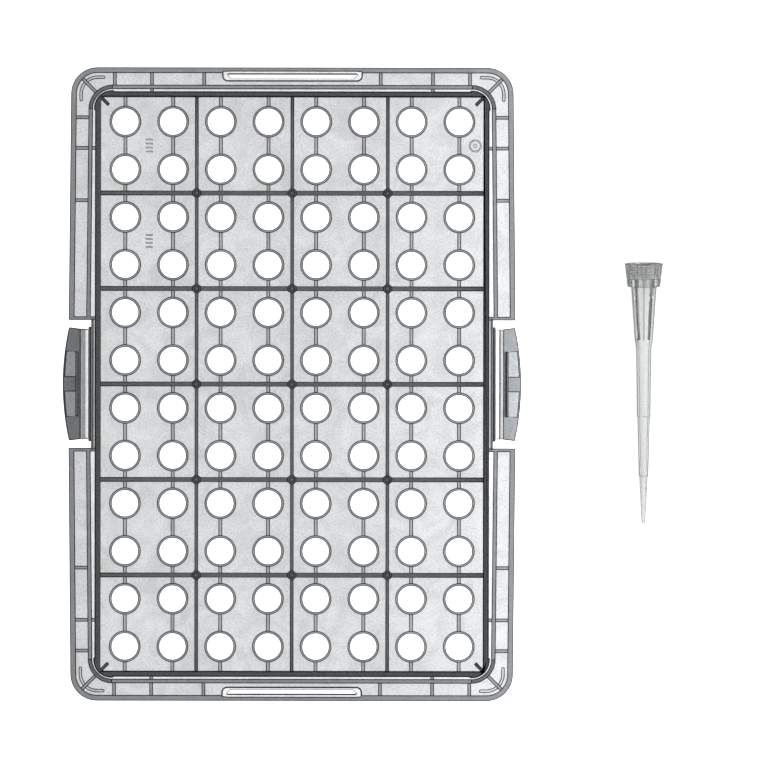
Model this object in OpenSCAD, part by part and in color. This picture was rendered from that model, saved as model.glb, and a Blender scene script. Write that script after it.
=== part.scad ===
// Rack tray for pipette tips, lying with its deck down and its ribs up, and one tip beside it.
// The deck's outer face is z = 0 and the grid of holes is centred on the origin.
// Columns of holes run along Y and the latches stand on the two long sides.

/* [Hole grid] */
// Holes across the tray
columns = 8; // [2:2:16]
// Holes along the tray
rows = 12; // [4:2:24]
// Distance between neighbouring holes
pitch = 9; // [8.5:0.25:18]
// Diameter of each tip hole
hole_d = 4.95; // [3.5:0.05:6]
// Wall of the collar around each hole
collar_wall = 0.52; // [0.3:0.02:0.6]
// Height of the collars
collar_h = 2.5; // [1.5:0.1:5]

/* [Deck and frame] */
// Thickness of the deck and of the rim's floor
deck_t = 1; // [0.8:0.1:2]
// Wall of the deep frame around the holes
frame_wall = 1.15; // [0.8:0.05:2]
// Height of the deep frame
frame_h = 11; // [7:0.5:40]
// Radius of the frame's outer corners
frame_r = 2.7; // [0.5:0.1:2.8]
// How far the corner pads stand out of the frame
pad_proud = 0.2; // [0.05:0.05:0.3]
// Length of each corner pad along a side
pad_l = 3.6; // [2.9:0.1:6]
// Width of the slanting rib in each inner corner
stub_w = 0.65; // [0.4:0.05:1.5]
// Reach of that rib from the inner corner
stub_l = 2; // [1:0.1:2.2]
// Height of that rib
stub_h = 7; // [3:0.5:7]

/* [Ribs] */
// Width of the main ribs along the tray
long_rib_w = 0.7; // [0.5:0.05:1.5]
// Width of the main ribs across the tray
cross_rib_w = 0.92; // [0.5:0.02:1.5]
// Height of the main ribs
main_rib_h = 7; // [4:0.5:7]
// Diameter of the boss on each crossing of main ribs
boss_d = 1.8; // [1.5:0.1:2.6]
// Height of the bosses
boss_h = 7.2; // [4:0.1:7.4]
// Diameter of the dimple in each boss
dimple_d = 0.7; // [0.4:0.1:1]
// Depth of the dimple
dimple_t = 0.3; // [0.1:0.05:0.6]
// Width of the low ribs through the holes
column_rib_w = 0.72; // [0.4:0.02:1.2]
// Height of the low ribs
column_rib_h = 2.3; // [1.5:0.1:5]

/* [Rim] */
// Narrow groove between the frame and the rim
moat_w = 0.45; // [0.3:0.05:2]
// Floor left under that groove
moat_floor_t = 0.5; // [0.3:0.05:0.8]
// Inner wall of the rim
inner_wall = 0.85; // [0.5:0.05:1.5]
// Height of the inner wall along the sides
inner_wall_h = 3.5; // [2:0.5:8]
// Height of the inner wall round the corners
inner_corner_h = 5.5; // [2:0.5:8]
// Outer corner radius of the inner wall
inner_r = 4.6; // [1.5:0.1:6]
// Channel between the rim's two walls
channel_w = 2.2; // [1.8:0.1:6]
// Outer wall of the rim
outer_wall = 1.1; // [0.6:0.05:2]
// Height of the outer wall
outer_wall_h = 3.5; // [2:0.5:8]
// Outer corner radius of the rim
outer_r = 5; // [3.5:0.1:7]
// How far each long side spreads outwards towards its latch
splay = 0.4; // [0:0.05:0.8]
// Width of the ribs across the channel
channel_rib_w = 0.7; // [0.4:0.05:1.5]
// Height of those ribs
channel_rib_h = 3; // [1.5:0.1:5]
// Rib nearest a corner on a short side, from the frame's outer corner
short_end_rib = 3.65; // [3.2:0.05:6]
// Rib nearest a corner on a long side, from the frame's outer corner
long_end_rib = 4.85; // [3.2:0.05:6]
// Rib that crosses the groove to the frame, from the frame's outer corner
bridge_rib = 10.65; // [8:0.05:14]
// Third rib, from the frame's outer corner
third_rib = 20.5; // [16:0.1:22]
// Width of the low bead inside each rim corner
bead_w = 0.65; // [0.4:0.05:0.9]
// Gap between that bead and the outer wall
bead_gap = 0.45; // [0.2:0.05:0.6]
// Straight length at each end of the bead
bead_end = 1.1; // [0.2:0.1:1.6]
// Height of the bead above the floor of the channel
bead_h = 0.4; // [0.2:0.05:1]

/* [Moulded marks] */
// Height of the marks on the deck
mark_t = 0.15; // [0.1:0.05:0.4]
// Bars in each row of marks
mark_bars = 4; // [2:1:6]
// Length of a bar
mark_bar_l = 1.3; // [0.6:0.1:2]
// Width of a bar
mark_bar_w = 0.3; // [0.2:0.05:0.5]
// Distance between bars
mark_bar_step = 0.75; // [0.6:0.05:1]
// Outer diameter of the round mark
ring_mark_d = 2.4; // [1.6:0.1:2.4]
// Width of the round mark's line
ring_mark_w = 0.3; // [0.15:0.05:0.3]
// Diameter of the dot inside it
ring_dot_d = 0.7; // [0.4:0.1:0.8]
// Distance of the round mark's middle from the frame
ring_mark_in = 1.5; // [1.3:0.1:2]

/* [End slots] */
// Length of the well that holds the slot in each short side
slot_l = 26; // [10:0.2:28]
// Width of the well, from the outer wall inwards
slot_w = 1.3; // [1.2:0.05:1.5]
// Radius of its two inner corners
slot_r = 0.8; // [0.2:0.05:0.8]
// Width of the lip round the well, and of the bar along the slot
slot_lip_w = 0.28; // [0.2:0.01:0.3]
// Height of the lip and the bar above the deck
slot_lip_h = 1.2; // [0.4:0.1:2]
// Thickness of the step left in the well beside the slot
slot_step_t = 0.4; // [0.3:0.05:0.6]
// Width of the step along the slot
slot_step_w = 0.35; // [0.2:0.05:0.4]
// Length of the step at each end, at the slot's longer side
slot_end = 0.8; // [0.3:0.1:2]
// How far each end of the slot slants
slot_slant = 0.7; // [0.1:0.1:1.5]
// How much thinner the outer wall is beside the slot
slot_relief = 0.25; // [0.1:0.05:0.5]

/* [Latches] */
// Length of the opening in the rim for a latch
notch_l = 24.1; // [16:0.1:30]
// Wall that closes the rim at each end of the opening
notch_wall = 0.7; // [0.4:0.05:1.5]
// Gap between the latch and each end of the opening
latch_end_gap = 1.25; // [0.5:0.05:2]
// How far the ledge beside the frame reaches past the groove
spine_wall = 0.3; // [0.25:0.05:0.8]
// Height of the ledge
spine_h = 4; // [2:0.5:8]
// Width of the line sunk between the frame and the ledge
ledge_line_w = 0.3; // [0.1:0.05:0.4]
// Height left under that line
ledge_line_h = 1.6; // [1:0.1:2]
// Root wall on the ledge, as long as the latch
root_wall = 0.5; // [0.3:0.05:1]
// Height of the root wall
root_h = 5.6; // [2:0.1:6]
// Gap between the root wall and the latch's rounded root
root_gap = 0.05; // [0.05:0.01:0.15]
// Diameter of the latch's rounded root
pivot_d = 0.5; // [0.4:0.05:0.8]
// Thickness of the film that carries the latch
film_t = 0.35; // [0.2:0.05:0.4]
// Width of the bare film
film_w = 0.5; // [0.4:0.05:1]
// Width of the slope from the film up to the tab
slope_w = 0.6; // [0.3:0.05:1]
// Height of that slope on the tab
slope_h = 4.6; // [1.5:0.1:5]
// Clear space under the latch
latch_lift = 0.6; // [0.5:0.05:1]
// Thickness of the tab at the middle of its length
tab_t = 3.4; // [3:0.1:4.5]
// How far the middle of the tab bulges past its ends
tab_bulge = 1.2; // [0.4:0.05:1.6]
// Top of the tab
tab_h = 9; // [6:0.5:11]
// How far each end of the tab slants
tab_end_slant = 0.4; // [0.1:0.05:0.8]
// Skin outside the pockets
tab_skin = 0.45; // [0.3:0.05:0.8]
// Wall inside the pockets
tab_inner_wall = 1; // [0.6:0.05:1.2]
// Length of each pocket
pocket_l = 4.65; // [2:0.05:4.8]
// Depth of the pockets
pocket_t = 3.5; // [2:0.5:7]
// Rib between the two pockets
pocket_rib = 2.9; // [1:0.1:4]
// Width of the catch bar on the inner wall
bar_w = 0.6; // [0.3:0.05:0.8]
// Height of the catch bar above the tab
bar_h = 0.8; // [0.3:0.1:1.5]

/* [Tip] */
// Play of the tip's body in a hole, on the diameter
tip_play = 0.1; // [0.05:0.05:0.4]
// Width of the step under the tip's collar that rests on a hole's edge
tip_seat = 0.58; // [0.4:0.02:0.9]
// How much the collar widens to its mouth, on the radius
collar_flare = 0.5; // [0.2:0.05:0.6]
// Height of the tip's collar
tip_collar_h = 4.4; // [3:0.1:8]
// Height of the solid foot of the collar
collar_foot_h = 1.5; // [0.8:0.1:2]
// Wall of the collar at its mouth
mouth_wall = 0.45; // [0.3:0.05:0.6]
// Lip round the mouth, on the radius
lip_proud = 0.08; // [0.04:0.02:0.15]
// Height of the lip
lip_h = 0.25; // [0.15:0.05:0.5]
// Upright ribs round the collar
collar_ribs = 12; // [6:1:18]
// Width of those ribs
collar_rib_w = 0.25; // [0.15:0.05:0.5]
// Rings inside the collar
collar_rings = 5; // [2:1:7]
// How far the rings stand in
ring_proud = 0.12; // [0.06:0.02:0.2]
// Length of the wide upper stretch of the body
upper_l = 10; // [6:0.5:20]
// How much the upper stretch tapers, on the radius
upper_taper = 0.7; // [0.3:0.05:0.8]
// Length of the shoulder under it
shoulder_l = 1.7; // [0.8:0.1:4]
// How much the shoulder narrows, on the radius
shoulder_taper = 0.28; // [0.1:0.02:0.35]
// Length of the middle stretch
middle_l = 12.9; // [6:0.1:30]
// How much the middle stretch tapers, on the radius
middle_taper = 0.17; // [0.05:0.01:0.2]
// Length of the lower stretch
lower_l = 11.2; // [5:0.1:30]
// How much the lower stretch tapers, on the radius
lower_taper = 0.27; // [0.1:0.01:0.3]
// Step down at each ring mark, on the radius
mark_step = 0.11; // [0.04:0.01:0.12]
// Length of the fine end
fine_l = 8.9; // [4:0.1:20]
// Radius of the fine end's point
point_r = 0.32; // [0.25:0.01:0.4]
// Wall of the body at the collar
body_wall = 0.38; // [0.3:0.02:0.5]
// Wall at the point
point_wall = 0.15; // [0.1:0.01:0.18]
// Fins inside the upper stretch
fins = 8; // [4:1:12]
// Thickness of the fins
fin_t = 0.15; // [0.1:0.05:0.3]
// How far the fins stand in
fin_proud = 0.3; // [0.1:0.05:0.4]
// Clear space between the tray and the tip
tip_gap = 19.5; // [5:0.5:60]
// How far the tip's middle lies below the tray's middle
tip_shift = 1.6; // [-40:0.1:40]

/* [Hidden] */
$fn = 64;
smoke = [0.62, 0.64, 0.67];
dark_smoke = [0.45, 0.47, 0.50];
clear_tint = [0.86, 0.90, 0.89];
eps = 0.01;

// the holes stand in the middle of their squares, and a main rib follows every second pair
hole_x = [for (i = [0 : columns - 1]) (i - (columns - 1) / 2) * pitch];
hole_y = [for (j = [0 : rows - 1]) (j - (rows - 1) / 2) * pitch];
long_rib_x = [for (i = [1 : 1 : columns / 2 - 1]) (2 * i - columns / 2) * pitch];
cross_rib_y = [for (j = [1 : 1 : rows / 2 - 1]) (2 * j - rows / 2) * pitch];

frame_in_w = columns * pitch;
frame_in_l = rows * pitch;
frame_w = frame_in_w + 2 * frame_wall;
frame_l = frame_in_l + 2 * frame_wall;

// radius at which the pads run out before the middle of each corner
pad_r = frame_r + 3.6 * pad_proud;

// insets of the rim's faces from its outer face
channel_out = outer_wall;
channel_in = outer_wall + channel_w;
moat_out = channel_in + inner_wall;
rim_w = frame_w + 2 * (moat_w + moat_out);
rim_l = frame_l + 2 * (moat_w + moat_out);
bead_r = outer_r - outer_wall - bead_gap - bead_w / 2;
// inner face of a short side's outer wall
wall_y = rim_l / 2 - outer_wall;
// reach of the inner wall along the diagonal, from the centre of the rim's outer corner
inner_crown = (outer_r - channel_in - inner_r) * sqrt(2) + inner_r;

// faces of the latch, outwards from the tray's middle
spine_x = frame_w / 2 + moat_w;
root_x = spine_x + spine_wall;
root_face_x = root_x + root_wall;
pivot_x = root_face_x + root_gap + pivot_d / 2;
pivot_z = latch_lift + pivot_d / 2;
slope_x = pivot_x + film_w;
tab_x = slope_x + slope_w;
tab_out_x = tab_x + tab_t;
latch_l = notch_l - 2 * latch_end_gap;
tab_end_l = latch_l - 2 * tab_end_slant;
bulge_r = (pow(latch_l / 2, 2) + pow(tab_bulge, 2)) / (2 * tab_bulge);
bulge_x = tab_out_x - bulge_r;
pocket_x = tab_x + tab_inner_wall;
bar_l = pocket_rib + 2 * pocket_l;

// radii and heights of the tip, from its point up
body_r = (hole_d - tip_play) / 2;
collar_low_r = hole_d / 2 + tip_seat;
mouth_r = collar_low_r + collar_flare;
lip_r = mouth_r + lip_proud;
upper_r = body_r - upper_taper;
shoulder_r = upper_r - shoulder_taper;
middle_r = shoulder_r - middle_taper;
lower_r = middle_r - mark_step;
lower_end_r = lower_r - lower_taper;
fine_r = lower_end_r - mark_step;
fine_z = fine_l;
lower_z = fine_z + lower_l;
middle_z = lower_z + middle_l;
upper_z = middle_z + shoulder_l;
collar_z = upper_z + upper_l;
foot_z = collar_z + collar_foot_h;
tip_l = collar_z + tip_collar_h;
ring_step = (tip_collar_h - collar_foot_h - lip_h) / (collar_rings + 1);
mark_h = 0.3;
// radius and height of each corner of the body's outline, from the point up
body_outline = [
  [point_r, 0],
  [fine_r, fine_z],
  [lower_end_r, fine_z],
  [lower_end_r, fine_z + mark_h],
  [lower_r, lower_z],
  [middle_r, lower_z],
  [middle_r, lower_z + mark_h],
  [shoulder_r, middle_z],
  [upper_r, upper_z],
  [body_r, collar_z]
];
// the tip lies on the lip of its collar and on the corner of its body that comes down first
lip_z = tip_l - lip_h;
tip_tilt = min([for (c = body_outline) atan((lip_r - c[0]) / (lip_z - c[1]))]);
point_rise = lip_r * cos(tip_tilt) - lip_z * sin(tip_tilt);
tip_x = tab_out_x + tip_gap + lip_r;
tip_y = -tip_shift - tip_l * cos(tip_tilt) / 2;

// every hole of the grid
module at_holes() {
  for (x = hole_x, y = hole_y)
    translate([x, y, 0])
      children();
}

// all four corners, each with +X and +Y pointing outwards
module at_corners() {
  for (sx = [0, 1], sy = [0, 1])
    mirror([sx, 0, 0])
      mirror([0, sy, 0])
        children();
}

module block(low, high) {
  translate(low)
    cube(high - low);
}

module rounded(w, l, r) {
  square([w - 2 * r, l], center = true);
  square([w, l - 2 * r], center = true);
  for (sx = [-1, 1], sy = [-1, 1])
    translate([sx * (w / 2 - r), sy * (l / 2 - r)])
      circle(r);
}

// the rim's outline set in by a distance, with its long sides spreading towards the latches
module rim_outline(inset, r) {
  side_x = rim_w / 2 - inset;
  side_y = rim_l / 2 - inset - r;
  rounded(2 * side_x, rim_l - 2 * inset, r);
  polygon([
    [side_x, side_y],
    [side_x + splay, notch_l / 2],
    [side_x + splay, -notch_l / 2],
    [side_x, -side_y],
    [-side_x, -side_y],
    [-side_x - splay, -notch_l / 2],
    [-side_x - splay, notch_l / 2],
    [-side_x, side_y]
  ]);
}

module inner_wall_outline() {
  difference() {
    rim_outline(channel_in, inner_r);
    rim_outline(moat_out, inner_r - inner_wall);
  }
}

module rim_walls() {
  linear_extrude(outer_wall_h)
    difference() {
      rim_outline(0, outer_r);
      rim_outline(channel_out, outer_r - outer_wall);
    }
  linear_extrude(inner_wall_h)
    inner_wall_outline();
  linear_extrude(inner_corner_h)
    intersection() {
      inner_wall_outline();
      at_corners()
        translate([rim_w / 2 - channel_in - inner_r, rim_l / 2 - channel_in - inner_r])
          square(outer_r + inner_r);
    }
}

// one rib across the channel of a short side, x from the tray's middle
module short_side_rib(x, reach) {
  block([x - channel_rib_w / 2, rim_l / 2 - reach, 0],
        [x + channel_rib_w / 2, rim_l / 2 - outer_wall / 2, channel_rib_h]);
}

// one rib across the channel of a long side, y from the tray's middle
module long_side_rib(y, reach) {
  block([rim_w / 2 - reach, y - channel_rib_w / 2, 0],
        [rim_w / 2 - outer_wall / 2, y + channel_rib_w / 2, channel_rib_h]);
}

module channel_ribs() {
  to_wall = channel_in + inner_wall / 2;
  to_frame = moat_out + moat_w + frame_wall / 2;
  at_corners() {
    for (d = [short_end_rib, third_rib])
      short_side_rib(frame_w / 2 - d, to_wall);
    for (d = [long_end_rib, third_rib])
      long_side_rib(frame_l / 2 - d, to_wall);
    short_side_rib(frame_w / 2 - bridge_rib, to_frame);
    long_side_rib(frame_l / 2 - bridge_rib, to_frame);
  }
}

// slanting rib across the channel at each corner, between the crowns of the two corner arcs
module corner_ribs() {
  out_c = outer_r - outer_wall / 2;
  at_corners()
    translate([rim_w / 2 - outer_r, rim_l / 2 - outer_r, 0])
      rotate(45)
        block([inner_crown - inner_wall / 2, -channel_rib_w / 2, 0],
              [out_c, channel_rib_w / 2, channel_rib_h]);
}

module corner_beads() {
  at_corners()
    translate([rim_w / 2 - outer_r, rim_l / 2 - outer_r, 0])
      linear_extrude(deck_t + bead_h) {
        intersection() {
          difference() {
            circle(bead_r + bead_w / 2);
            circle(bead_r - bead_w / 2);
          }
          square(outer_r);
        }
        translate([-bead_end, bead_r - bead_w / 2])
          square([bead_end, bead_w]);
        translate([bead_r - bead_w / 2, -bead_end])
          square([bead_w, bead_end]);
        translate([-bead_end, bead_r])
          circle(bead_w / 2);
        translate([bead_r, -bead_end])
          circle(bead_w / 2);
      }
}

module frame() {
  difference() {
    linear_extrude(frame_h)
      union() {
        rounded(frame_w, frame_l, frame_r);
        intersection() {
          rounded(frame_w + 2 * pad_proud, frame_l + 2 * pad_proud, pad_r);
          at_corners()
            translate([frame_w / 2 - pad_l, frame_l / 2 - pad_l])
              square(2 * pad_l);
        }
      }
    block([-frame_in_w / 2, -frame_in_l / 2, -eps], [frame_in_w / 2, frame_in_l / 2, frame_h + eps]);
  }
  at_corners()
    translate([frame_in_w / 2, frame_in_l / 2, 0])
      rotate(45)
        block([-stub_l, -stub_w / 2, 0], [stub_w / 2, stub_w / 2, stub_h]);
}

module main_ribs() {
  half_w = frame_in_w / 2 + frame_wall / 2;
  half_l = frame_in_l / 2 + frame_wall / 2;
  for (x = long_rib_x)
    block([x - long_rib_w / 2, -half_l, 0], [x + long_rib_w / 2, half_l, main_rib_h]);
  for (y = cross_rib_y)
    block([-half_w, y - cross_rib_w / 2, 0], [half_w, y + cross_rib_w / 2, main_rib_h]);
  for (x = long_rib_x, y = cross_rib_y)
    translate([x, y, 0])
      difference() {
        cylinder(d = boss_d, h = boss_h);
        translate([0, 0, boss_h - dimple_t])
          cylinder(d = dimple_d, h = dimple_t + eps);
      }
}

module column_ribs() {
  half_l = frame_in_l / 2 + frame_wall / 2;
  for (x = hole_x)
    block([x - column_rib_w / 2, -half_l, 0], [x + column_rib_w / 2, half_l, column_rib_h]);
}

// a well's outline, open to the outer wall, grown by a distance
module well_outline(grow) {
  r = slot_r + grow;
  half = slot_l / 2 + grow;
  y_in = wall_y - slot_w - grow;
  translate([-half, y_in + r])
    square([2 * half, wall_y + slot_relief - y_in - r]);
  translate([r - half, y_in])
    square([2 * (half - r), 2 * r]);
  for (sx = [-1, 1])
    translate([sx * (half - r), y_in + r])
      circle(r);
}

// the pad that becomes the lip round a well
module slot_pad() {
  linear_extrude(deck_t + slot_lip_h)
    well_outline(slot_lip_w);
}

// the well in a short side's floor, with a bar left beside the slot, and the slot through it
module end_slot() {
  long_x = slot_l / 2 - slot_end;
  short_x = long_x - slot_slant;
  bar_y = wall_y - slot_lip_w;
  step_y = wall_y - slot_w + slot_step_w;
  difference() {
    translate([0, 0, slot_step_t])
      linear_extrude(outer_wall_h)
        well_outline(0);
    block([-long_x, bar_y, 0], [long_x, wall_y, deck_t + slot_lip_h]);
  }
  translate([0, 0, -eps])
    linear_extrude(deck_t)
      polygon([[-long_x, bar_y], [long_x, bar_y], [short_x, step_y], [-short_x, step_y]]);
}

// rows of plain bars between the holes, and a plain ring beside the frame
module moulded_marks() {
  mark_x = (1 - columns / 2) * pitch;
  for (row = [1, 3])
    translate([mark_x, (rows / 2 - row) * pitch, 0])
      for (k = [0 : mark_bars - 1])
        translate([0, (k - (mark_bars - 1) / 2) * mark_bar_step, 0])
          block([-mark_bar_l / 2, -mark_bar_w / 2, deck_t / 2],
                [mark_bar_l / 2, mark_bar_w / 2, deck_t + mark_t]);
  translate([frame_in_w / 2 - ring_mark_in, (rows / 2 - 1) * pitch, deck_t / 2])
    difference() {
      cylinder(d = ring_mark_d, h = deck_t / 2 + mark_t);
      difference() {
        cylinder(d = ring_mark_d - 2 * ring_mark_w, h = deck_t);
        cylinder(d = ring_dot_d, h = deck_t);
      }
    }
}

// the opening in a long side, cut from the rim down to the latch's walls
module latch_notch() {
  far = rim_w / 2 + splay + 1;
  block([root_face_x, -notch_l / 2, -eps], [far, notch_l / 2, frame_h]);
  for (s = [0, 1])
    mirror([0, s, 0])
      block([root_x, latch_l / 2, -eps], [far, notch_l / 2, frame_h]);
}

// walls beside the frame that carry a latch, with the rim's end walls
module latch_seat() {
  block([frame_w / 2 - frame_wall / 2, -notch_l / 2 - notch_wall / 2, 0],
        [root_x, notch_l / 2 + notch_wall / 2, ledge_line_h]);
  block([frame_w / 2 + ledge_line_w, -notch_l / 2 - notch_wall / 2, 0],
        [root_x, notch_l / 2 + notch_wall / 2, spine_h]);
  block([root_x - eps, -latch_l / 2, 0], [root_face_x, latch_l / 2, root_h]);
  for (s = [0, 1])
    mirror([0, s, 0])
      block([frame_w / 2 - frame_wall / 2, notch_l / 2, 0],
            [rim_w / 2 + splay - outer_wall / 2, notch_l / 2 + notch_wall, outer_wall_h]);
}

// everything that stands on the deck outside the frame is open in the latch's opening
module rim() {
  difference() {
    union() {
      rim_walls();
      channel_ribs();
      corner_ribs();
      corner_beads();
    }
    for (s = [0, 1])
      mirror([s, 0, 0])
        block([spine_x - moat_w / 2, -notch_l / 2, deck_t - eps],
              [rim_w, notch_l / 2, frame_h]);
  }
}

// the deck and the rim's floor, thinner under the groove round the frame
module deck() {
  difference() {
    linear_extrude(deck_t)
      rim_outline(0, outer_r);
    translate([0, 0, moat_floor_t])
      linear_extrude(deck_t)
        difference() {
          rim_outline(moat_out, inner_r - inner_wall);
          rounded(frame_w, frame_l, frame_r);
        }
  }
}

module tip_tray() {
  color(smoke)
    difference() {
      union() {
        deck();
        moulded_marks();
        rim();
        frame();
        main_ribs();
        column_ribs();
        at_holes()
          cylinder(d = hole_d + 2 * collar_wall, h = collar_h);
        for (s = [0, 1]) {
          mirror([0, s, 0])
            slot_pad();
          mirror([s, 0, 0])
            latch_seat();
        }
      }
      at_holes()
        translate([0, 0, -eps])
          cylinder(d = hole_d, h = frame_h);
      for (s = [0, 1]) {
        mirror([0, s, 0])
          end_slot();
        mirror([s, 0, 0])
          latch_notch();
      }
    }
}

module tab_outline(skin) {
  intersection() {
    translate([bulge_x, 0])
      circle(bulge_r - skin, $fn = 180);
    polygon([
      [tab_x, -tab_end_l / 2],
      [tab_out_x + tab_bulge, -latch_l / 2 - tab_end_slant / 2],
      [tab_out_x + tab_bulge, latch_l / 2 + tab_end_slant / 2],
      [tab_x, tab_end_l / 2]
    ]);
  }
}

// film and slope between the rounded root and the tab, drawn in X and Z
module film_profile() {
  polygon([
    [pivot_x, pivot_z - film_t / 2],
    [slope_x, pivot_z - film_t / 2],
    [slope_x, latch_lift],
    [tab_x + eps, latch_lift],
    [tab_x + eps, slope_h],
    [slope_x, pivot_z + film_t / 2],
    [pivot_x, pivot_z + film_t / 2]
  ]);
}

// a latch on the +X side
module latch() {
  color(dark_smoke) {
    translate([pivot_x, 0, pivot_z])
      rotate([90, 0, 0])
        cylinder(d = pivot_d, h = tab_end_l, center = true);
    rotate([90, 0, 0])
      linear_extrude(tab_end_l, center = true)
        film_profile();
    difference() {
      translate([0, 0, latch_lift])
        linear_extrude(tab_h - latch_lift)
          tab_outline(0);
      for (s = [0, 1])
        mirror([0, s, 0])
          translate([0, 0, tab_h - pocket_t])
            linear_extrude(pocket_t + eps)
              intersection() {
                tab_outline(tab_skin);
                translate([pocket_x, pocket_rib / 2])
                  square([tab_t, pocket_l]);
              }
    }
    block([pocket_x - bar_w, -bar_l / 2, tab_h - bar_h], [pocket_x, bar_l / 2, tab_h + bar_h]);
  }
}

module latch_right() {
  latch();
}

module latch_left() {
  mirror([1, 0, 0])
    latch();
}

// the tip's outer shape and its hollow, as half sections with the point at the bottom
module tip_section() {
  polygon(concat([[0, 0]], body_outline, [
    [collar_low_r, collar_z],
    [mouth_r, lip_z],
    [lip_r, lip_z],
    [lip_r, tip_l],
    [0, tip_l]
  ]));
}

module hollow_section() {
  polygon([
    [0, -eps],
    [point_r - point_wall, -eps],
    [fine_r - (point_wall + body_wall) / 2, fine_z],
    [middle_r - body_wall, lower_z],
    [shoulder_r - body_wall, middle_z],
    [upper_r - body_wall, upper_z],
    [body_r - body_wall, foot_z],
    [mouth_r - collar_flare / 2 - mouth_wall, foot_z],
    [mouth_r - mouth_wall, tip_l + eps],
    [0, tip_l + eps]
  ]);
}

module collar_ribs_and_rings() {
  difference() {
    union() {
      for (k = [0 : collar_ribs - 1])
        rotate(360 * (k + 0.25) / collar_ribs)
          rotate([90, 0, 0])
            linear_extrude(collar_rib_w, center = true)
              polygon([
                [body_r, collar_z],
                [collar_low_r + lip_proud / 2, collar_z],
                [mouth_r + lip_proud / 2, lip_z],
                [body_r, lip_z]
              ]);
    }
    translate([0, 0, foot_z - eps])
      cylinder(r = mouth_r - collar_flare / 2 - mouth_wall / 2, h = tip_collar_h);
    translate([0, 0, collar_z - eps])
      cylinder(r = body_r - body_wall / 2, h = tip_collar_h);
  }
  for (k = [1 : collar_rings])
    translate([0, 0, foot_z + k * ring_step])
      rotate_extrude()
        translate([mouth_r - collar_flare / 2 - mouth_wall - ring_proud, -ring_step / 4])
          square([mouth_wall / 2 + ring_proud + collar_flare / 4, ring_step / 2]);
}

// straight fins on the wall of the upper stretch, standing in towards the axis
module upper_fins() {
  fin_r = upper_r - body_wall;
  for (k = [0 : fins - 1])
    rotate(360 * k / fins)
      rotate([90, 0, 0])
        linear_extrude(fin_t, center = true)
          polygon([
            [fin_r - fin_proud, upper_z],
            [fin_r + body_wall / 2, upper_z],
            [body_r - body_wall / 2, foot_z],
            [body_r - body_wall - fin_proud, foot_z]
          ]);
}

module upright_tip() {
  difference() {
    rotate_extrude()
      tip_section();
    rotate_extrude()
      hollow_section();
  }
  collar_ribs_and_rings();
  upper_fins();
}

module pipette_tip() {
  color(clear_tint)
    translate([tip_x, tip_y, point_rise])
      rotate([tip_tilt - 90, 0, 0])
        upright_tip();
}

tip_tray();
latch_left();
latch_right();
pipette_tip();
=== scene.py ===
import math

import bpy
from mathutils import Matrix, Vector

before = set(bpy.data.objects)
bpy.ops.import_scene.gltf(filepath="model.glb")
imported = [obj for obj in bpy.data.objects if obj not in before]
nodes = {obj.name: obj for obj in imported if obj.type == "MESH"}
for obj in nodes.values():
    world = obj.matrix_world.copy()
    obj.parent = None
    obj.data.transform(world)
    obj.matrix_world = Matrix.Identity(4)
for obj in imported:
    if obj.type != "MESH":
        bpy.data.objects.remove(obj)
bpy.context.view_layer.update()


class Wire:  # one output of a node, on which sums can be written
    def __init__(self, tree, socket):
        self.tree = tree
        self.socket = socket

    def work(self, operation, *values):
        sockets = dict(enumerate(values))
        return addNode(self.tree, "ShaderNodeMath", {"operation": operation}, sockets)

    def __add__(self, other):
        return self.work("ADD", self, other)

    __radd__ = __add__

    def __sub__(self, other):
        return self.work("SUBTRACT", self, other)

    def __rsub__(self, other):
        return self.work("SUBTRACT", other, self)

    def __mul__(self, other):
        return self.work("MULTIPLY", self, other)

    __rmul__ = __mul__

    def __truediv__(self, other):
        return self.work("DIVIDE", self, other)

    def __rtruediv__(self, other):
        return self.work("DIVIDE", other, self)

    def __abs__(self):
        return self.work("ABSOLUTE", self)

    def __gt__(self, other):  # 1 where it holds and 0 elsewhere
        return self.work("GREATER_THAN", self, other)

    def __lt__(self, other):
        return self.work("LESS_THAN", self, other)

    def __getitem__(self, name):  # another output of the same node
        return Wire(self.tree, self.socket.node.outputs[name])


def addNode(tree, kind, settings=None, sockets=None):
    node = tree.nodes.new(kind)
    for name, value in (settings or {}).items():
        if name == "stops":
            setStops(node.color_ramp.elements, value)
        else:
            setattr(node, name, value)
    for name, value in (sockets or {}).items():
        if isinstance(value, Wire):
            tree.links.new(value.socket, node.inputs[name])
        else:
            node.inputs[name].default_value = value
    return Wire(tree, node.outputs[0]) if node.outputs else node


def setStops(ramp, stops):  # places along a ramp and the grey at each
    while len(ramp) < len(stops):
        ramp.new(0.5)
    for stop, (place, shade) in zip(ramp, stops):
        stop.position = place
        stop.color = (shade, shade, shade, 1)


def greyRamp(tree, stops, value):
    return addNode(tree, "ShaderNodeValToRGB", {"stops": stops}, {"Fac": value})


def multiplyColors(tree, first, second, share=1):
    settings = {"data_type": "RGBA", "blend_type": "MULTIPLY"}
    sockets = {0: share, 6: first, 7: second}  # the colour sockets of this node go by number
    return addNode(tree, "ShaderNodeMix", settings, sockets)[2]


def newMaterial(name):
    material = bpy.data.materials.new(name)
    material.use_nodes = True
    material.node_tree.nodes.clear()
    return material, material.node_tree


def finishWith(tree, surface, volume=None):
    links = {"Surface": surface}
    if volume:
        links["Volume"] = volume
    addNode(tree, "ShaderNodeOutputMaterial", None, links)


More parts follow.
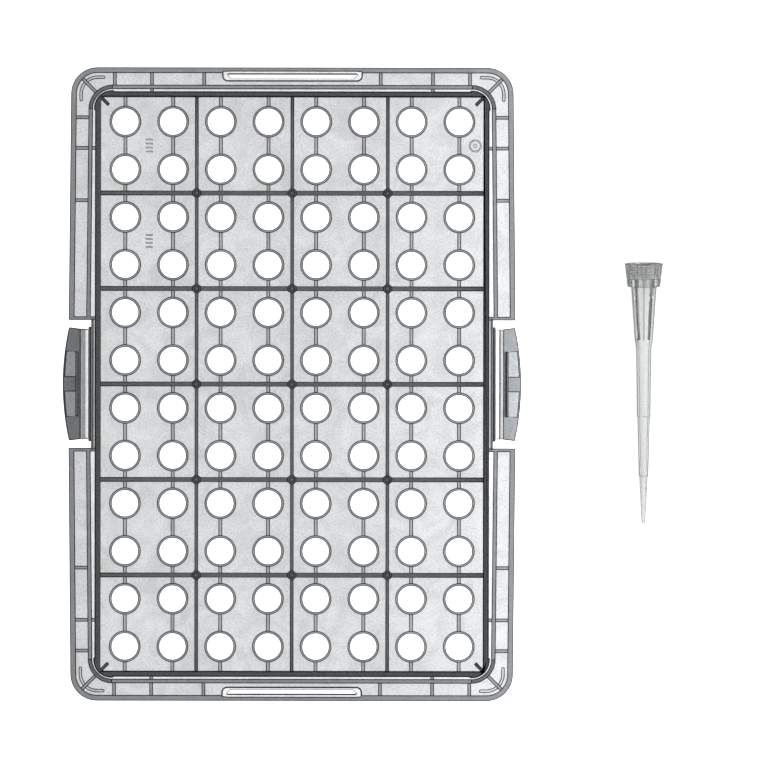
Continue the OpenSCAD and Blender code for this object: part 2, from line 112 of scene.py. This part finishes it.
# what every moulded piece shares
moulding = {
    "flowScale": 150,  # broad streaks where the plastic flowed
    "flowDetail": 6,
    "flowRoughness": 0.62,
    "flowDistortion": 1.6,
    "grainScale": 3000,  # fine grain of the surface
    "grainDetail": 1,
    "darkEnd": 0.35,  # noise below this is darkest
    "lightEnd": 0.6,  # and above this is lightest
    "gloss": 0.05,
    "glossSpread": 0.06,
    "bending": 1.49,  # how much the plastic bends light
    "ripple": 0.12,
    "rippleDepth": 0.0002,
    "edgeShine": 0.1,
    "edgeGloss": 0.35,
    "edgeGlossSpread": 0.2,
    # random mottling of the edges' painted shade and of their roughness
    "wearScale": 900,
    "wearDetail": 2,
    "wearStops": [(0.3, 0.6), (0.7, 1)],
}


def plastic(name, look):
    material, tree = newMaterial(name)
    place = addNode(tree, "ShaderNodeTexCoord")["Object"]
    flow = addNode(tree, "ShaderNodeTexNoise", None, {
        "Vector": place,
        "Scale": look["flowScale"],
        "Detail": look["flowDetail"],
        "Roughness": look["flowRoughness"],
        "Distortion": look["flowDistortion"],
    })
    grain = addNode(tree, "ShaderNodeTexNoise", None, {
        "Vector": place,
        "Scale": look["grainScale"],
        "Detail": look["grainDetail"],
    })
    dark, light = look["darkEnd"], look["lightEnd"]
    flowTone = greyRamp(tree, [(dark, 1 - look["flowShade"]), (light, 1)], flow)
    grainTone = greyRamp(tree, [(dark, 1 - look["grainShade"]), (light, 1)], grain)
    tone = multiplyColors(tree, flowTone, grainTone)
    if "bandShade" in look:
        tone = shadeBands(tree, place, tone, look)
    ripple = addNode(tree, "ShaderNodeBump", None, {
        "Height": flow,
        "Strength": look["ripple"],
        "Distance": look["rippleDepth"],
    })
    body = addNode(tree, "ShaderNodeBsdfPrincipled", None, {
        "Base Color": multiplyColors(tree, tone, (*look["tint"], 1)),
        "Roughness": look["gloss"] + look["glossSpread"] * flow,
        "IOR": look["bending"],
        "Transmission Weight": look["throughLight"],
        "Normal": ripple,
    })
    if "sideDark" in look:
        body = darkenSides(tree, body, look)
    depth = addNode(tree, "ShaderNodeVolumeAbsorption", None, {
        "Color": (*look["depthTint"], 1),
        "Density": look["darkPerMetre"],
    })
    finishWith(tree, body, depth)
    return material


def shadeBands(tree, place, tone, look):  # painted shade: darker bands that run along a latch
    where = addNode(tree, "ShaderNodeSeparateXYZ", None, {"Vector": place})
    outward = (abs(where["X"]) - look["bandsFrom"]) / look["bandsWidth"]
    tone = multiplyColors(tree, tone, greyRamp(tree, look["bandShade"], outward))
    if "pocketShade" in look:
        beside = abs(where["Y"]) < look["pocketReach"]
        pocketTone = greyRamp(tree, look["pocketShade"], outward)
        tone = multiplyColors(tree, tone, pocketTone, beside)
    return tone


def darkenSides(tree, body, look):  # clear plastic looks darker side on, so a dark plastic is mixed in there as painted shade
    facing = addNode(tree, "ShaderNodeLayerWeight", None, {"Blend": 0.5})["Facing"]
    side = addNode(tree, "ShaderNodeBsdfPrincipled", None, {
        "Base Color": (*look["edgeTint"], 1),
        "Roughness": look["sideGloss"],
        "Specular IOR Level": look["edgeShine"],
    })
    amount = greyRamp(tree, look["sideDark"], facing)
    return addNode(tree, "ShaderNodeMixShader", None, {0: amount, 1: body, 2: side})


def edgePlastic(name, look):  # the rounded edges, which pass hardly any light upwards: a painted shade, nearly black, for the dark lines along the edges
    material, tree = newMaterial(name)
    place = addNode(tree, "ShaderNodeTexCoord")["Object"]
    edgeMottle = addNode(tree, "ShaderNodeTexNoise", None, {
        "Vector": place,
        "Scale": look["wearScale"],
        "Detail": look["wearDetail"],
    })
    tone = greyRamp(tree, look["wearStops"], edgeMottle)
    body = addNode(tree, "ShaderNodeBsdfPrincipled", None, {
        "Base Color": multiplyColors(tree, tone, (*look["edgeTint"], 1)),
        "Roughness": look["edgeGloss"] + look["edgeGlossSpread"] * edgeMottle,
        "Specular IOR Level": look["edgeShine"],
    })
    finishWith(tree, body)
    return material


# marks the edges that turn by more than so many degrees
# the mark is a least share, with more added above each height in the steps
def makeEdgeMarker(name, attribute, kind, side, degrees, least=1, steps=()):
    tree = bpy.data.node_groups.new(name, "GeometryNodeTree")
    tree.interface.new_socket("Geometry", in_out="INPUT", socket_type="NodeSocketGeometry")
    tree.interface.new_socket("Geometry", in_out="OUTPUT", socket_type="NodeSocketGeometry")
    angle = addNode(tree, "GeometryNodeInputMeshEdgeAngle")[side]
    place = addNode(tree, "GeometryNodeInputPosition")
    height = addNode(tree, "ShaderNodeSeparateXYZ", None, {"Vector": place})["Z"]
    share = least
    for level, more in steps:
        share = share + more * (height > level)
    settings = {"data_type": kind, "domain": "EDGE"}
    marked = addNode(tree, "GeometryNodeStoreNamedAttribute", settings, {
        "Geometry": addNode(tree, "NodeGroupInput"),
        "Name": attribute,
        "Value": share * (angle > math.radians(degrees)),
    })
    addNode(tree, "NodeGroupOutput", None, {"Geometry": marked})
    return tree


edges = {
    "roundTurn": 40,  # outward edges that turn by more degrees are rounded
    "sharpTurn": 50,  # and any edge that turns by more stays crisp in the shading
    "flatTurn": 1,  # faces that turn by less are joined
    "weldGap": 0.000002,
    "roundSteps": 2,
}
markOutward = makeEdgeMarker(
    "markOutward", "bevel_weight_edge", "FLOAT", "Signed Angle", edges["roundTurn"]
)
markSharp = makeEdgeMarker(
    "markSharp", "sharp_edge", "BOOLEAN", "Unsigned Angle", edges["sharpTurn"]
)


def softenEdges(piece, width, marker):
    weld = piece.modifiers.new("weld", "WELD")
    weld.merge_threshold = edges["weldGap"]
    flat = piece.modifiers.new("flat", "DECIMATE")
    flat.decimate_type = "DISSOLVE"
    flat.angle_limit = math.radians(edges["flatTurn"])
    piece.modifiers.new("outward", "NODES").node_group = marker
    edge = piece.modifiers.new("edge", "BEVEL")
    edge.width = width
    edge.segments = edges["roundSteps"]
    edge.limit_method = "WEIGHT"
    edge.use_clamp_overlap = False
    edge.miter_outer = "MITER_ARC"
    edge.material = 1  # the slot of the edge plastic
    piece.modifiers.new("sharp", "NODES").node_group = markSharp
    piece.modifiers.new("smooth", "WEIGHTED_NORMAL").keep_sharp = True


def dress(name, look, marker=markOutward):
    slots = nodes[name].data.materials
    slots.clear()
    slots.append(plastic(name, look))
    slots.append(edgePlastic(name + "Edge", look))
    softenEdges(nodes[name], look["edgeRound"], marker)
    print(name, "dressed")


# smoke-grey plastic of the tray, which its latches share
smoke = {
    **moulding,
    "tint": (0.97, 0.975, 0.98),
    # painted shade of the rounded edges
    "edgeTint": (0.02, 0.021, 0.023),
    "throughLight": 0.89,
    "depthTint": (0.0, 0.03, 0.06),
    "darkPerMetre": 450,
    "edgeRound": 0.00025,  # width of the rounding at full share
    "edgeLeast": 0.4,  # share of that width at the deck
    "edgeSteps": [(0.0013, 0.28), (0.006, 0.12), (0.009, 0.2)],  # height, and what it adds
    "flowShade": 0.14,
    "grainShade": 0.16,
}
markByHeight = makeEdgeMarker(
    "markByHeight", "bevel_weight_edge", "FLOAT", "Signed Angle", edges["roundTurn"],
    smoke["edgeLeast"], smoke["edgeSteps"],
)
dress("tip_tray", smoke, markByHeight)


# the painted shade bands start 38.5 mm from the middle of the tray, and their ramps cover 2.5 mm
# outwards
latch = {
    **smoke,
    "bandsFrom": 0.0385,
    "bandsWidth": 0.0025,
}
leftLatch = {
    **latch,
    # painted shade: the left latch gets a darker plastic than the right one, for the light that
    # falls from the right
    "darkPerMetre": 275,
    "edgeRound": 0.00018,
    # painted shade across the left latch, darkest beside its fold
    "bandShade": [
        (0.1, 1), (0.17, 0.7), (0.25, 0.4), (0.32, 0.22), (0.4, 0.4),
        (0.47, 0.45), (0.55, 0.22), (0.6, 0.5), (0.65, 1),
    ],
}
dress("latch_left", leftLatch)


rightLatch = {
    **latch,
    # painted light: the right latch gets a lighter plastic than the left one, for the light that
    # falls from the right
    "darkPerMetre": 155,
    "edgeRound": 0.00016,
    "bandShade": [(0.23, 1), (0.235, 0), (0.34, 0), (0.345, 1)],  # painted shade of the fold line
    # painted shade on the wall only beside the two pockets, and how far they reach along the
    # latch each way
    "pocketShade": [(0.46, 1), (0.48, 0.5), (0.72, 0.5), (0.73, 0.05), (0.82, 0.05), (0.83, 1)],
    "pocketReach": 0.0062,
}
dress("latch_right", rightLatch)


# clear plastic of the tip
clear = {
    **moulding,
    "tint": (0.98, 0.99, 0.985),
    # painted shade of the tip's edges, and of its sides seen side on
    "edgeTint": (0.16, 0.18, 0.18),
    "throughLight": 0.96,
    "depthTint": (0.0, 0.10, 0.08),
    "darkPerMetre": 130,
    "edgeRound": 0.00005,
    "flowShade": 0.02,
    "grainShade": 0.0,
    "sideGloss": 0.3,
    # painted shade, from facing to side on
    "sideDark": [(0.0, 0.02), (0.3, 0.04), (0.42, 0.28), (0.55, 0.75), (1.0, 0.85)],
}
dress("pipette_tip", clear)


studio = {
    "floorSize": 6,
    "floorDrop": 0.0002,
    "floorShade": 0.9,
    "floorRoughness": 0.9,
    "floorShine": 0.0,
    # painted light: the floor glows like a light box and lights the pieces from below
    "floorGlow": 2.2,
    # painted light and shade in the floor's glow, from 1 m left of the tray to 1 m right,
    # brighter at its right edge and dimmer under the tip
    "glowAcross": [
        (0.0, 0.583), (0.48, 0.58), (0.505, 0.605), (0.515, 0.69),
        (0.52, 0.81), (0.523, 0.81), (0.528, 0.34), (1.0, 0.34),
    ],
    "skyGlow": 0.4,
    "keyPlace": (0.5, 0.25, 0.5),
    "keySize": 0.4,
    "keyPower": 2,
}


def makeFloor():
    half = studio["floorSize"] / 2
    z = -studio["floorDrop"]
    corners = [(-half, -half, z), (half, -half, z), (half, half, z), (-half, half, z)]
    mesh = bpy.data.meshes.new("floor")
    mesh.from_pydata(corners, [], [(0, 1, 2, 3)])
    floor = bpy.data.objects.new("floor", mesh)
    bpy.context.scene.collection.objects.link(floor)
    material, tree = newMaterial("glowingPaleFloor")
    place = addNode(tree, "ShaderNodeTexCoord")["Object"]
    across = addNode(tree, "ShaderNodeSeparateXYZ", None, {"Vector": place})["X"]
    shade = studio["floorShade"]
    body = addNode(tree, "ShaderNodeBsdfPrincipled", None, {
        "Base Color": (shade, shade, shade, 1),
        "Roughness": studio["floorRoughness"],
        "Specular IOR Level": studio["floorShine"],
        "Emission Color": greyRamp(tree, studio["glowAcross"], 0.5 + 0.5 * across),
        "Emission Strength": studio["floorGlow"],
    })
    finishWith(tree, body)
    mesh.materials.append(material)


def makeSky():
    world = bpy.data.worlds.new("softRoom")
    world.use_nodes = True
    glow = world.node_tree.nodes["Background"].inputs
    glow["Color"].default_value = (1, 1, 1, 1)
    glow["Strength"].default_value = studio["skyGlow"]
    bpy.context.scene.world = world


def makeLamp(name, place, size, power):  # turned towards the middle of the tray
    data = bpy.data.lights.new(name, "AREA")
    data.size = size
    data.energy = power
    lamp = bpy.data.objects.new(name, data)
    lamp.location = place
    lamp.rotation_euler = (-Vector(place)).to_track_quat("-Z", "Y").to_euler()
    bpy.context.scene.collection.objects.link(lamp)


# the camera looks straight down from far away
view = {
    "lens": 1200,
    "sensor": 36,
    "middle": (0.01687, -0.00032),
    "width": 0.1457,  # what it takes in at the table, in metres
    "turn": 0.08,  # in degrees
    "farthest": 20,
}


def makeCamera():
    data = bpy.data.cameras.new("camera")
    data.lens = view["lens"]
    data.sensor_width = view["sensor"]
    data.clip_end = view["farthest"]
    camera = bpy.data.objects.new("camera", data)
    camera.location = (*view["middle"], view["width"] * data.lens / data.sensor_width)
    camera.rotation_euler = (0, 0, math.radians(view["turn"]))
    bpy.context.scene.collection.objects.link(camera)
    bpy.context.scene.camera = camera


makeFloor()
makeSky()
makeLamp("keyLamp", studio["keyPlace"], studio["keySize"], studio["keyPower"])
makeCamera()
bpy.context.scene.view_settings.view_transform = "Standard"
print("studio ready")
